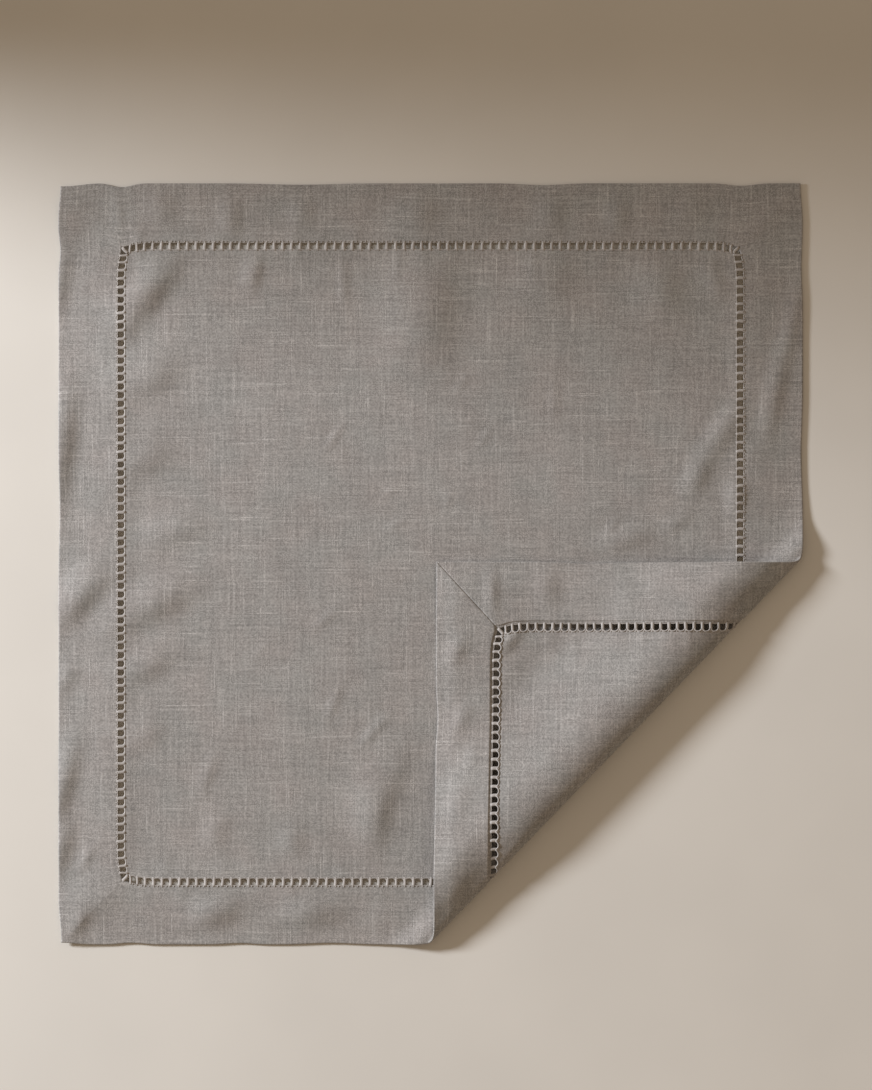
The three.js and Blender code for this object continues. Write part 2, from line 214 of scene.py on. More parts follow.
# Short gathers on both sides of the ladder, where the hemstitch draws the cloth together
gathers = {
    "spacing": (9, 24),  # ranges in mm
    "offset": (-6, 10),  # from the middle of the ladder
    "length": (20, 46),
    "width": (8, 16),
    "height": (0.06, 0.34),
    "turn": 14,  # degrees either way
    "lean": 0.3,  # either way
    "seed": 5,
}


def gatherRows():
    pick = np.random.default_rng(gathers["seed"])
    rows = []
    for side in sides.values():
        alongX, alongY = side["along"]
        inX, inY = side["inward"]
        reach = (side["half"] - ladderEnd) / mm
        place = -reach + pick.uniform(*gathers["spacing"])
        while place < reach:
            inset = ladderMiddle / mm + pick.uniform(*gathers["offset"]) - side["edge"] / mm
            rows.append({
                "x": place * alongX + inset * inX,
                "y": place * alongY + inset * inY,
                "length": pick.uniform(*gathers["length"]),
                "width": pick.uniform(*gathers["width"]),
                "turn": math.degrees(math.atan2(inY, inX)) + pick.uniform(-1, 1) * gathers["turn"],
                "height": pick.uniform(*gathers["height"]),
                "lean": pick.uniform(-gathers["lean"], gathers["lean"]),
            })
            place += pick.uniform(*gathers["spacing"])
    return rows


ladderGathers = gatherRows()


def softBump(share):
    share = np.minimum(np.abs(share), 1)
    return (0.5 + 0.5 * np.cos(np.pi * share)) ** crestPower


def smooth(share):
    share = np.clip(share, 0, 1)
    return share * share * (3 - 2 * share)


def easedThrough(rows, place):
    at = np.array([row["at"] for row in rows], float) * mm
    lift = np.array([row["lift"] for row in rows]) * mm
    slope = np.gradient(lift, at)
    slope[[0, -1]] = 0
    before = np.clip(np.searchsorted(at, place) - 1, 0, len(at) - 2)
    after = before + 1
    step = at[after] - at[before]
    share = np.clip((place - at[before]) / step, 0, 1)
    rest = 1 - share
    bend = share * rest * step * (rest * slope[before] - share * slope[after])
    return lift[before] + (lift[after] - lift[before]) * smooth(share) + bend


def insetOf(x, y):
    return np.minimum(halfWidth - np.abs(x), halfLength - np.abs(y))


def thicknessAt(x, y):
    fromHem = (insetOf(x, y) - napkin["hemWidth"]) / napkin["hemLift"]
    return napkin["hemThickness"] + (napkin["clothThickness"] - napkin["hemThickness"]) * smooth(fromHem)


def creaseHeight(rows, x, y):
    height = np.zeros_like(x)
    for row in rows:
        turn = math.radians(row["turn"])
        awayX, awayY = x - row["x"] * mm, y - row["y"] * mm
        along = awayX * math.cos(turn) + awayY * math.sin(turn)
        across = awayY * math.cos(turn) - awayX * math.sin(turn)
        flank = np.where(across > 0, 1 + row["lean"], 1 - row["lean"]) * row["width"] / 2 * mm
        height += row["height"] * mm * softBump(along / (row["length"] / 2 * mm)) * softBump(across / flank)
    return height


def slackHeight(x, y):
    height = np.zeros_like(x)
    for wave in unevenness:
        size = wave["wave"] * mm
        places = zip(x / size, y / size)
        height += wave["height"] * mm * np.array([noise.noise((u, v, wave["seed"])) for u, v in places])
    return height


def drawnIn(x, y):
    movedX, movedY = x.copy(), y.copy()
    for dip in edgeDips:
        side = sides[dip["side"]]
        inX, inY = side["inward"]
        place = x if inX == 0 else y
        inset = side["edge"] + x * inX + y * inY
        pull = dip["depth"] * mm * softBump((place / mm - dip["at"]) / dip["half"])
        pull = pull * np.clip(1 - inset / napkin["hemWidth"], 0, 1)
        movedX += inX * pull
        movedY += inY * pull
    for corner in cornerPulls:
        away = np.hypot(np.abs(x) - halfWidth + corner["inset"], np.abs(y) - halfLength + corner["inset"])
        pull = corner["amount"] * np.exp(-((away / corner["reach"]) ** 2)) / math.sqrt(2)
        movedX -= np.sign(x) * pull
        movedY -= np.sign(y) * pull
    return movedX, movedY


def foldSection():
    stretches, slope, height, reach, toUpright = [], 0.0, 0.0, 0.0, 0.0
    upright = math.pi / 2
    for arc in fold["arcs"]:
        radius, turnTo = arc["radius"], math.radians(arc["turnTo"])
        stretches.append({"length": radius * abs(turnTo - slope), "start": slope, "end": turnTo})
        height += radius * (math.cos(slope) - math.cos(turnTo)) * math.copysign(1, turnTo - slope)
        if slope < upright:
            reach += radius * (math.sin(min(turnTo, upright)) - math.sin(slope))
            toUpright += radius * (min(turnTo, upright) - slope)
        slope = turnTo
    landing = stretches.pop()
    fallLength = -(height - fold["flapHeight"]) / math.sin(landing["start"])
    stretches += [{"length": fallLength, "start": landing["start"], "end": landing["start"]}, landing]
    start = fold["distance"] - reach
    return {"stretches": stretches, "start": start, "upright": start + toUpright}


section = foldSection()


def foldAt(distance):
    out, up, slope = distance.copy(), np.zeros_like(distance), np.zeros_like(distance)
    reached, fromOut, fromUp = section["start"], section["start"], 0.0
    for stretch in section["stretches"]:
        length, start, end = stretch["length"], stretch["start"], stretch["end"]
        bend = (end - start) / length
        run = np.append(np.clip(distance - reached, 0, length), length)
        here = start + bend * run
        if bend:
            stepOut = (np.sin(here) - math.sin(start)) / bend
            stepUp = (math.cos(start) - np.cos(here)) / bend
        else:
            stepOut, stepUp = run * math.cos(start), run * math.sin(start)
        inside = distance > reached
        out = np.where(inside, fromOut + stepOut[:-1], out)
        up = np.where(inside, fromUp + stepUp[:-1], up)
        slope = np.where(inside, here[:-1], slope)
        reached, fromOut, fromUp = reached + length, fromOut + stepOut[-1], fromUp + stepUp[-1]
    landed = distance > reached
    return np.where(landed, fromOut - (distance - reached), out), up, np.where(landed, math.pi, slope)


def layDown(flat):
    x, y, depth = flat.T
    pulledX, pulledY = drawnIn(x, y)
    cosFold, sinFold = math.cos(fold["angle"]), math.sin(fold["angle"])
    distance = pulledX * sinFold - pulledY * cosFold
    out, up, slope = foldAt(distance)
    along = pulledX * cosFold + pulledY * sinFold
    along = along + fold["skew"] * np.maximum(distance - section["upright"], 0)
    tableX = sinFold * out + cosFold * along
    tableY = sinFold * along - cosFold * out
    turned = smooth(slope / math.pi)
    over = thicknessAt(x, y) * (1 - turned) - depth  # towards the front, from the face that lies below
    lying = creaseHeight(creases, tableX, tableY)
    folded = creaseHeight(flapCreases, tableX, tableY)
    inset = insetOf(x, y)
    droop = fold["edgeDroop"] * turned * smooth(1 - inset / fold["droopWidth"])
    lift = lying * (1 - turned) + folded * turned + slackHeight(tableX, tableY)
    lift = lift + creaseHeight(ladderGathers, x, y)
    lift = lift + napkin["ladderLift"] * (turned + (1 - turned) * smooth(inset / ladderMiddle))
    lift = np.maximum(lift + napkin["slackUnder"], napkin["slackLeast"]) - droop
    stiff = 1 - smooth((inset - fold["stiffFrom"]) / (fold["stiffTo"] - fold["stiffFrom"]))
    lift = lift + easedThrough(fold["hemRoll"], distance) * stiff
    return np.stack([
        tableX - np.sin(slope) * sinFold * over,
        tableY + np.sin(slope) * cosFold * over,
        up + np.cos(slope) * over + lift,
    ], axis=1)


def roundedEdge(distance, radius):
    return 1 - np.sqrt(1 - (1 - np.clip(distance / radius, 0, 1)) ** 2)


def linesAcross(low, high, spacing, lowEdge, highEdge):
    first, last = low + lowEdge[-1], high - highEdge[-1]
    count = max(2, round((last - first) / spacing) + 1)
    middle = np.linspace(first, last, count)
    return np.concatenate([low + np.array(lowEdge[:-1]), middle, (high - np.array(highEdge[:-1]))[::-1]])


def gridFaces(columns, rows, flip):
    i, j = np.meshgrid(np.arange(columns - 1), np.arange(rows - 1), indexing="ij")
    corner = (i * rows + j).ravel()
    quads = np.stack([corner, corner + rows, corner + rows + 1, corner + 1], axis=1)
    return quads[:, ::-1] if flip else quads


# The cloth itself: the field inside the ladder and the hem round it, front and back
weaveGrid = {
    "fieldSpacing": 2.0 * mm,
    "hemSpacing": 2.4 * mm,
    "edge": [0, 0.1 * mm, 0.3 * mm, 0.7 * mm, 1.4 * mm],  # rows of points, close together at each edge
    "mitre": [0, 0.15 * mm, 0.4 * mm, 0.9 * mm, 1.8 * mm],
    "hemFold": [0, 0.5 * mm, 1.0 * mm, 1.25 * mm, 1.4 * mm, 1.65 * mm, 2.4 * mm],
    "mitreDepth": 0.5 * mm,
    "mitreHalf": 0.6 * mm,
    "foldRound": 0.4 * mm,  # the hem's inner fold, on the back
    "backOffset": 0.61,  # the weave on the back of the hem is another part of the cloth
    "seamGap": 0.005 * mm,  # corners closer than this are joined
}


def fieldShells():
    thickness = napkin["clothThickness"]
    reachX = halfWidth - ladderEnd
    reachY = halfLength - ladderEnd
    edge = weaveGrid["edge"]
    x = linesAcross(-reachX, reachX, weaveGrid["fieldSpacing"], edge, edge)
    y = linesAcross(-reachY, reachY, weaveGrid["fieldSpacing"], edge, edge)
    gridX, gridY = (g.ravel() for g in np.meshgrid(x, y, indexing="ij"))
    toEdge = np.minimum(reachX - np.abs(gridX), reachY - np.abs(gridY))
    front = thickness / 2 * roundedEdge(toEdge, thickness / 2)
    plan = np.stack([gridX, gridY], axis=1)
    shells = []
    for depth, flip in ((front, False), (thickness - front, True)):
        shells.append((np.column_stack([plan, depth]), gridFaces(len(x), len(y), flip), plan))
    return shells


def hemShells(name, number):
    side = sides[name]
    hem, cloth = napkin["hemThickness"], napkin["clothThickness"]
    edge, mitre = weaveGrid["edge"], weaveGrid["mitre"]
    inward = linesAcross(0, ladderStart, weaveGrid["hemSpacing"], edge, weaveGrid["hemFold"])
    outline = linesAcross(-side["half"], side["half"], weaveGrid["hemSpacing"], mitre, mitre) / side["half"]
    share, inset = (g.ravel() for g in np.meshgrid(outline, inward, indexing="ij"))
    reach = side["half"] - inset
    along = share * reach
    plan = np.outer(along, side["along"]) + np.outer(inset - side["edge"], side["inward"])
    outer = hem / 2 * roundedEdge(inset, hem / 2)
    inner = cloth / 2 * roundedEdge(ladderStart - inset, cloth / 2)
    front = outer + inner
    foldRound = weaveGrid["foldRound"]
    pastFold = np.clip((inset - napkin["hemWidth"] + foldRound) / foldRound, 0, 1)
    turnedIn = (hem - cloth) * np.sqrt(1 - pastFold**2)
    toMitre = (reach - np.abs(along)) / math.sqrt(2)
    groove = weaveGrid["mitreDepth"] * roundedEdge(toMitre, weaveGrid["mitreHalf"]) * (pastFold < 1)
    groove = groove * np.clip(inset / hem, 0, 1)
    back = cloth + turnedIn - outer - inner - groove
    backPlan = plan + weaveGrid["backOffset"] * (number + 1)
    columns, rows = len(outline), len(inward)
    return [
        (np.column_stack([plan, front]), gridFaces(columns, rows, False), plan),
        (np.column_stack([plan, back]), gridFaces(columns, rows, True), backPlan),
    ]


def makeCloth(name, shells, material):
    corners, faces, plans, first = [], [], [], 0
    for points, quads, plan in shells:
        corners.append(points)
        faces.append(quads + first)
        plans.append(plan)
        first += len(points)
    corners, plans = np.concatenate(corners), np.concatenate(plans)
    mesh = bpy.data.meshes.new(name)
    mesh.from_pydata((corners * (1, 1, -1)).tolist(), [], [q for f in faces for q in f.tolist()])
    uv = mesh.uv_layers.new(name="clothPlan")
    loopCorner = np.zeros(len(mesh.loops), int)
    mesh.loops.foreach_get("vertex_index", loopCorner)
    uv.data.foreach_set("uv", plans[loopCorner].ravel())
    work = bmesh.new()  # front and back meet along every edge
    work.from_mesh(mesh)
    bmesh.ops.remove_doubles(work, verts=work.verts, dist=weaveGrid["seamGap"])
    work.to_mesh(mesh)
    work.free()
    flat = np.zeros(len(mesh.vertices) * 3)
    mesh.vertices.foreach_get("co", flat)
    mesh.vertices.foreach_set("co", layDown(flat.reshape(-1, 3) * (1, 1, -1)).ravel())
    return smoothPiece(name, mesh, material)


def smoothPiece(name, mesh, material):
    mesh.polygons.foreach_set("use_smooth", np.ones(len(mesh.polygons), bool))
    mesh.materials.append(material)
    mesh.update()
    piece = bpy.data.objects.new(name, mesh)
    scene.collection.objects.link(piece)
    return piece


# Procedural materials, drawn on the cloth's own flat plan
def newMaterial(name):
    material = bpy.data.materials.new(name)
    material.use_nodes = True
    tree = material.node_tree
    shader = tree.nodes["Principled BSDF"]
    return material, tree, shader


def feed(tree, socket, value):
    if isinstance(value, bpy.types.NodeSocket):
        tree.links.new(value, socket)
    else:
        socket.default_value = value


def calc(tree, operation, first, second=0.0):
    node = tree.nodes.new("ShaderNodeMath")
    node.operation = operation
    feed(tree, node.inputs[0], first)
    feed(tree, node.inputs[1], second)
    return node.outputs[0]


def joined(tree, x, y, z=0.0):
    node = tree.nodes.new("ShaderNodeCombineXYZ")
    for socket, value in zip(node.inputs, (x, y, z)):
        feed(tree, socket, value)
    return node.outputs[0]


def clouds(tree, vector, scale, detail=2.0):
    node = tree.nodes.new("ShaderNodeTexNoise")
    feed(tree, node.inputs["Vector"], vector)
    node.inputs["Scale"].default_value = scale
    node.inputs["Detail"].default_value = detail
    return node.outputs["Fac"]


def ranged(tree, value, low, high, toLow=0.0, toHigh=1.0):
    node = tree.nodes.new("ShaderNodeMapRange")
    feed(tree, node.inputs["Value"], value)
    for name, number in (("From Min", low), ("From Max", high), ("To Min", toLow), ("To Max", toHigh)):
        node.inputs[name].default_value = number
    return node.outputs["Result"]


def mixed(tree, share, first, second, blend="MIX"):
    node = tree.nodes.new("ShaderNodeMix")
    node.data_type = "RGBA"
    node.blend_type = blend
    feed(tree, node.inputs["Factor"], share)
    feed(tree, node.inputs[6], first)
    feed(tree, node.inputs[7], second)
    return node.outputs[2]


def bumped(tree, height, strength, distance):
    node = tree.nodes.new("ShaderNodeBump")
    feed(tree, node.inputs["Height"], height)
    node.inputs["Strength"].default_value = strength
    node.inputs["Distance"].default_value = distance
    return node.outputs["Normal"]


linen = {
    "threadPitch": 0.56 * mm,
    "warm": (0.396, 0.363, 0.331, 1),
    "cool": (0.384, 0.366, 0.336, 1),
    "thick": (0.55, 0.52, 0.48, 1),  # slubs, where a thread is fuller
    "crossing": 0.6,  # how far a thread rises over the one it crosses
    "roundness": 3.4,  # how steeply a thread falls off to its sides
    "relief": 0.12 * mm,
    "reliefStrength": 0.3,
    "roughness": 0.92,
    "gloss": 0.15,
    "swayScale": 45,
    "warpSway": 1.6,  # in threads
    "weftSway": -1.8,
    "weftShift": 20.0,  # keeps the tones of warp and weft apart
    "slubShare": 0.6,  # how far a slub takes on its own colour
    "slubRise": 0.8,
    "broadWeight": 0.14,
    "tintScale": 38,
    "tintRange": (0.35, 0.65),
    "evenRange": (0.6, 1.8, 0.70, 1.30),  # ranges of a tone, then of the shade it gives
    "grainRange": (0.0, 1.0, 0.78, 1.22),
    # painted shade: the weave's colour darkens where a thread lies low between the threads that cross it
    "hollowShadeRange": (-0.7, 0.5, 0.74, 1.06),
}
streaks = {  # tones along single threads: change from thread to thread, length, own part of the noise
    "fine": {"across": 7.31, "length": 30 * mm, "shift": 0},
    "broad": {"across": 0.41, "length": 60 * mm, "shift": 11},
    "slub": {"across": 3.77, "length": 36 * mm, "shift": 5, "range": (0.63, 0.72)},
}
mottles = [  # soft spots over the whole cloth
    {"scale": 780, "detail": 1.0, "part": 9.0, "range": (0.3, 0.7, 0.95, 1.05)},
    {"scale": 22, "detail": 3.0, "part": 3.0, "range": (0.3, 0.7, 0.96, 1.04)},
]


def linenWeave():
    material, tree, shader = newMaterial("linenWeave")
    uvNode = tree.nodes.new("ShaderNodeUVMap")
    uvNode.uv_map = "clothPlan"
    split = tree.nodes.new("ShaderNodeSeparateXYZ")
    tree.links.new(uvNode.outputs["UV"], split.inputs[0])
    u, v = split.outputs[0], split.outputs[1]
    plan = uvNode.outputs["UV"]
    pitch = linen["threadPitch"]
    sway = clouds(tree, plan, linen["swayScale"], 1.0)

    def swayed(along, amount):
        return calc(tree, "ADD", calc(tree, "DIVIDE", along, pitch), calc(tree, "MULTIPLY", sway, amount))

    def crown(place, count, other, sign):
        off = calc(tree, "SUBTRACT", calc(tree, "SUBTRACT", place, count), 0.5)
        fall = calc(tree, "MULTIPLY", calc(tree, "MULTIPLY", off, off), linen["roundness"])
        wave = calc(tree, "SINE", calc(tree, "MULTIPLY", calc(tree, "ADD", other, count), math.pi))
        return calc(tree, "SUBTRACT", calc(tree, "MULTIPLY", wave, sign * linen["crossing"]), fall)

    def streak(name, count, along, shift):
        row = streaks[name]
        across = calc(tree, "MULTIPLY", count, row["across"])
        place = joined(tree, across, calc(tree, "DIVIDE", along, row["length"]), shift + row["shift"])
        return clouds(tree, place, scale=1, detail=1.0)

    def threadTone(count, along, shift):
        fine = streak("fine", count, along, shift)
        broad = streak("broad", count, along, shift)
        slub = ranged(tree, streak("slub", count, along, shift), *streaks["slub"]["range"])
        return calc(tree, "ADD", fine, calc(tree, "MULTIPLY", broad, linen["broadWeight"])), slub

    warp, weft = swayed(u, linen["warpSway"]), swayed(v, linen["weftSway"])
    warpCount, weftCount = calc(tree, "FLOOR", warp), calc(tree, "FLOOR", weft)
    warpTop, weftTop = crown(warp, warpCount, weft, 1), crown(weft, weftCount, warp, -1)
    height = calc(tree, "MAXIMUM", warpTop, weftTop)
    warpEven, warpSlub = threadTone(warpCount, v, 0.0)
    weftEven, weftSlub = threadTone(weftCount, u, linen["weftShift"])
    slub = calc(tree, "MAXIMUM", warpSlub, weftSlub)

    tint = ranged(tree, clouds(tree, plan, linen["tintScale"], 2.0), *linen["tintRange"])
    colour = mixed(tree, tint, linen["warm"], linen["cool"])
    colour = mixed(tree, calc(tree, "MULTIPLY", slub, linen["slubShare"]), colour, linen["thick"])

    crossing = tree.nodes.new("ShaderNodeTexWhiteNoise")
    crossing.noise_dimensions = "2D"
    feed(tree, crossing.inputs["Vector"], joined(tree, warpCount, weftCount))
    shade = ranged(tree, calc(tree, "ADD", warpEven, weftEven), *linen["evenRange"])
    factors = [ranged(tree, crossing.outputs["Value"], *linen["grainRange"])]
    for mottle in mottles:
        spots = clouds(tree, joined(tree, u, v, mottle["part"]), mottle["scale"], mottle["detail"])
        factors.append(ranged(tree, spots, *mottle["range"]))
    # painted shade in the hollows of the weave: lower thread height gives a darker colour
    factors.append(ranged(tree, height, *linen["hollowShadeRange"]))
    for factor in factors:
        shade = calc(tree, "MULTIPLY", shade, factor)

    fuller = calc(tree, "ADD", height, calc(tree, "MULTIPLY", slub, linen["slubRise"]))
    relief = bumped(tree, fuller, linen["reliefStrength"], linen["relief"])
    tree.links.new(mixed(tree, 1.0, colour, shade, "MULTIPLY"), shader.inputs["Base Color"])
    tree.links.new(relief, shader.inputs["Normal"])
    shader.inputs["Roughness"].default_value = linen["roughness"]
    shader.inputs["Specular IOR Level"].default_value = linen["gloss"]
    return material


thread = {
    "dark": (0.37, 0.335, 0.30, 1),
    "pale": (0.53, 0.49, 0.445, 1),
    "spunScale": 2600,
    "spunRange": (0.3, 0.7),
    "spunShare": 0.6,  # the rest of the tone changes from place to place
    "patchScale": 160,
    "patchRange": (0.35, 0.65),
    "relief": 0.08 * mm,
    "reliefStrength": 0.4,
    "roughness": 0.8,
    "gloss": 0.0,  # spun linen has none
}


def linenThread():
    material, tree, shader = newMaterial("linenThread")
    coordinates = tree.nodes.new("ShaderNodeTexCoord").outputs["Object"]
    spun = ranged(tree, clouds(tree, coordinates, thread["spunScale"], 2.0), *thread["spunRange"])
    patch = ranged(tree, clouds(tree, coordinates, thread["patchScale"], 1.0), *thread["patchRange"])
    ownTone = calc(tree, "MULTIPLY", spun, thread["spunShare"])
    tone = calc(tree, "ADD", ownTone, calc(tree, "MULTIPLY", patch, 1 - thread["spunShare"]))
    relief = bumped(tree, spun, thread["reliefStrength"], thread["relief"])
    tree.links.new(mixed(tree, tone, thread["dark"], thread["pale"]), shader.inputs["Base Color"])
    tree.links.new(relief, shader.inputs["Normal"])
    shader.inputs["Roughness"].default_value = thread["roughness"]
    shader.inputs["Specular IOR Level"].default_value = thread["gloss"]
    return material


clothMaterial = linenWeave()
threadMaterial = linenThread()
shells = fieldShells()
for number, name in enumerate(sides):
    shells += hemShells(name, number)
napkinCloth = makeCloth("napkin_cloth", shells, clothMaterial)
print("cloth laid down:", len(napkinCloth.data.polygons), "faces")


# Threads: short cords, set out in rows along the ladder
def rowTree():
    tree = bpy.data.node_groups.new("stitchRow", "GeometryNodeTree")
    sockets = {}
    for name, kind in (("Stitch", "Object"), ("Count", "Int"), ("Pitch", "Float"), ("Turn", "Float"),
                       ("Uneven", "Float"), ("Seed", "Int"), ("Material", "Material")):
        item = tree.interface.new_socket(name, in_out="INPUT", socket_type="NodeSocket" + kind)
        sockets[name] = item.identifier
    tree.interface.new_socket("Geometry", in_out="OUTPUT", socket_type="NodeSocketGeometry")
    source = tree.nodes.new("NodeGroupInput")
    line = tree.nodes.new("GeometryNodeMeshLine")
    feed(tree, line.inputs["Count"], source.outputs["Count"])
    step = tree.nodes.new("ShaderNodeCombineXYZ")
    feed(tree, step.inputs["X"], source.outputs["Pitch"])
    feed(tree, line.inputs["Offset"], step.outputs[0])
    stitch = tree.nodes.new("GeometryNodeObjectInfo")
    feed(tree, stitch.inputs["Object"], source.outputs["Stitch"])
    lean = tree.nodes.new("FunctionNodeRandomValue")
    lean.data_type = "FLOAT"
    feed(tree, lean.inputs[2], calc(tree, "MULTIPLY", source.outputs["Turn"], -1.0))
    feed(tree, lean.inputs[3], source.outputs["Turn"])
    feed(tree, lean.inputs["Seed"], source.outputs["Seed"])
    turn = tree.nodes.new("ShaderNodeCombineXYZ")
    feed(tree, turn.inputs["Z"], lean.outputs[1])
    size = tree.nodes.new("FunctionNodeRandomValue")
    size.data_type = "FLOAT"
    feed(tree, size.inputs[2], calc(tree, "SUBTRACT", 1.0, source.outputs["Uneven"]))
    feed(tree, size.inputs[3], calc(tree, "ADD", 1.0, source.outputs["Uneven"]))
    feed(tree, size.inputs["Seed"], calc(tree, "ADD", source.outputs["Seed"], 1.0))
    scale = tree.nodes.new("ShaderNodeCombineXYZ")
    feed(tree, scale.inputs["X"], size.outputs[1])
    feed(tree, scale.inputs["Y"], 1.0)
    feed(tree, scale.inputs["Z"], size.outputs[1])
    place = tree.nodes.new("GeometryNodeInstanceOnPoints")
    feed(tree, place.inputs["Points"], line.outputs[0])
    feed(tree, place.inputs["Instance"], stitch.outputs["Geometry"])
    feed(tree, place.inputs["Rotation"], turn.outputs[0])
    feed(tree, place.inputs["Scale"], scale.outputs[0])
    real = tree.nodes.new("GeometryNodeRealizeInstances")
    feed(tree, real.inputs[0], place.outputs[0])
    dress = tree.nodes.new("GeometryNodeSetMaterial")
    feed(tree, dress.inputs["Geometry"], real.outputs[0])
    feed(tree, dress.inputs["Material"], source.outputs["Material"])
    sink = tree.nodes.new("NodeGroupOutput")
    feed(tree, sink.inputs[0], dress.outputs[0])
    return tree, sockets


stitchRow, rowSockets = rowTree()


def rowMesh(stitch, count, pitch, turn, uneven, seed):
    holder = bpy.data.objects.new("row", bpy.data.meshes.new("row"))
    scene.collection.objects.link(holder)
    modifier = holder.modifiers.new("stitches", "NODES")
    modifier.node_group = stitchRow
    values = {"Stitch": stitch, "Count": count, "Pitch": pitch, "Turn": turn, "Uneven": uneven,
              "Seed": seed, "Material": threadMaterial}
    for name, value in values.items():
        modifier[rowSockets[name]] = value
    shown = holder.evaluated_get(bpy.context.evaluated_depsgraph_get())
    mesh = bpy.data.meshes.new_from_object(shown)
    holder.modifiers.remove(modifier)
    bpy.data.objects.remove(holder)
    return mesh


def rowPlaces(row):
    for side in sides.values():
        along, inward = np.array(side["along"], float), np.array(side["inward"], float)
        fieldHalf = side["half"] - fieldInset
        middle = (ladderMiddle - side["edge"]) * inward
        if row["at"] == "corners":
            end = middle + (side["half"] - ladderMiddle) * along
            yield end, (along + inward) / math.sqrt(2), (inward - along) / math.sqrt(2), 1, pitchOf(side)
            continue
        between = row["at"] == "gaps"
        count = round(2 * fieldHalf / pitchOf(side)) + (0 if between else 1)
        start = -fieldHalf + (pitchOf(side) / 2 if between else 0)
        yield middle + start * along, along, inward, count, pitchOf(side)


def pitchOf(side):
    bundles = napkin["bundlesAcross"] if side["half"] == halfWidth else napkin["bundlesAlong"]
    return 2 * (side["half"] - fieldInset) / (bundles - 1)


def spreadAtFold(x, start, along, pitch):
    middle = np.round(x / pitch) * pitch
    place = start + np.outer(middle, along)
    slope = foldAt(place @ np.array([math.sin(fold["angle"]), -math.cos(fold["angle"])]))[2]
    slope = np.degrees(slope)
    share = smooth(slope / bundle["spreadStart"]) * (1 - smooth(slope / bundle["spreadEnd"] - 1))
    return middle + (x - middle) * (1 + bundle["spread"] * share)


def stitchPiece(name, rows):
    cords = []
    for number, row in enumerate(rows):
        template = bpy.data.objects.new("stitch", row["stitch"])
        scene.collection.objects.link(template)
        for index, (start, along, inward, count, pitch) in enumerate(rowPlaces(row)):
            mesh = rowMesh(template, count, pitch, row["turn"], row["uneven"], 10 * number + index)
            local = np.zeros(len(mesh.vertices) * 3)
            mesh.vertices.foreach_get("co", local)
            x, y, z = local.reshape(-1, 3).T
            if row["at"] == "bundles":
                x = spreadAtFold(x, start, along, pitch)
            plan = start + np.outer(x, along) + np.outer(y, inward)
            faces = [list(p.vertices) for p in mesh.polygons]
            cords.append((np.column_stack([plan, -z]), faces))
            bpy.data.meshes.remove(mesh)
        bpy.data.objects.remove(template)
    return makeThreads(name, cords)


def makeThreads(name, cords):
    corners, faces, first = [], [], 0
    for points, polygons in cords:
        corners.append(points)
        faces += [[k + first for k in polygon] for polygon in polygons]
        first += len(points)
    mesh = bpy.data.meshes.new(name)
    mesh.from_pydata(layDown(np.concatenate(corners)).tolist(), [], faces)
    return smoothPiece(name, mesh, threadMaterial)


def cordMesh(name, path, halfAcross, halfThick, ring, ridge=0.0):
    path = np.array(path, float)
    ahead = np.gradient(path, axis=0)
    ahead /= np.linalg.norm(ahead, axis=1)[:, None]
    turn = 2 * np.pi * np.arange(ring) / ring
    swell = 1 + ridge * np.cos(turn * ring / 2)
    points, faces = [], []
    for place, way in zip(path, ahead):
        side = np.cross(way, (0, 0, 1))
        side /= np.linalg.norm(side)
        rise = np.cross(side, way)
        points += list(place + np.outer(swell * halfAcross * np.cos(turn), side)
                       + np.outer(swell * halfThick * np.sin(turn), rise))
    for i in range(len(path) - 1):
        for k in range(ring):
            a, b = i * ring + k, i * ring + (k + 1) % ring
            faces.append((a, a + ring, b + ring, b))
    faces.append(tuple(range(ring)))
    faces.append(tuple(reversed(range((len(path) - 1) * ring, len(path) * ring))))
    mesh = bpy.data.meshes.new(name)
    mesh.from_pydata([tuple(p) for p in points], [], faces)
    work = bmesh.new()
    work.from_mesh(mesh)
    bmesh.ops.recalc_face_normals(work, faces=work.faces)
    work.to_mesh(mesh)
    work.free()
    return mesh


midDepth = -napkin["clothThickness"] / 2
bundle = {
    "halfWidth": 0.82 * mm,
    "halfThick": 0.4 * mm,
    "cornerLength": 4.6 * mm,  # one bundle lies across each corner of the ladder
    "bow": 0.22 * mm,  # each bundle is a little bent
    "tuck": 0.5 * mm,  # length hidden in the cloth at each end
    "steps": 5,
    "ring": 12,
    "ridge": 0.09,  # strands that show
    "spread": 2.0,  # the threads lie wide apart where the ladder starts up the roll
    "spreadStart": 8,  # most of all between these slopes, in degrees
    "spreadEnd": 36,
}


def bundleMesh(name, length):
    end = length / 2 + bundle["tuck"]
    y = np.linspace(-end, end, bundle["steps"])
    path = np.column_stack([bundle["bow"] * (1 - (y / end) ** 2), y, np.full(bundle["steps"], midDepth)])
    return cordMesh(name, path, bundle["halfWidth"], bundle["halfThick"], bundle["ring"], bundle["ridge"])


threadBundles = stitchPiece("thread_bundles", [
    {"stitch": bundleMesh("bundle", 2 * ladderHalf), "turn": 0.07, "uneven": 0.1, "at": "bundles"},
    {"stitch": bundleMesh("corner", bundle["cornerLength"]), "turn": 0.05, "uneven": 0.05, "at": "corners"},
])
print("thread bundles:", len(threadBundles.data.polygons), "faces")

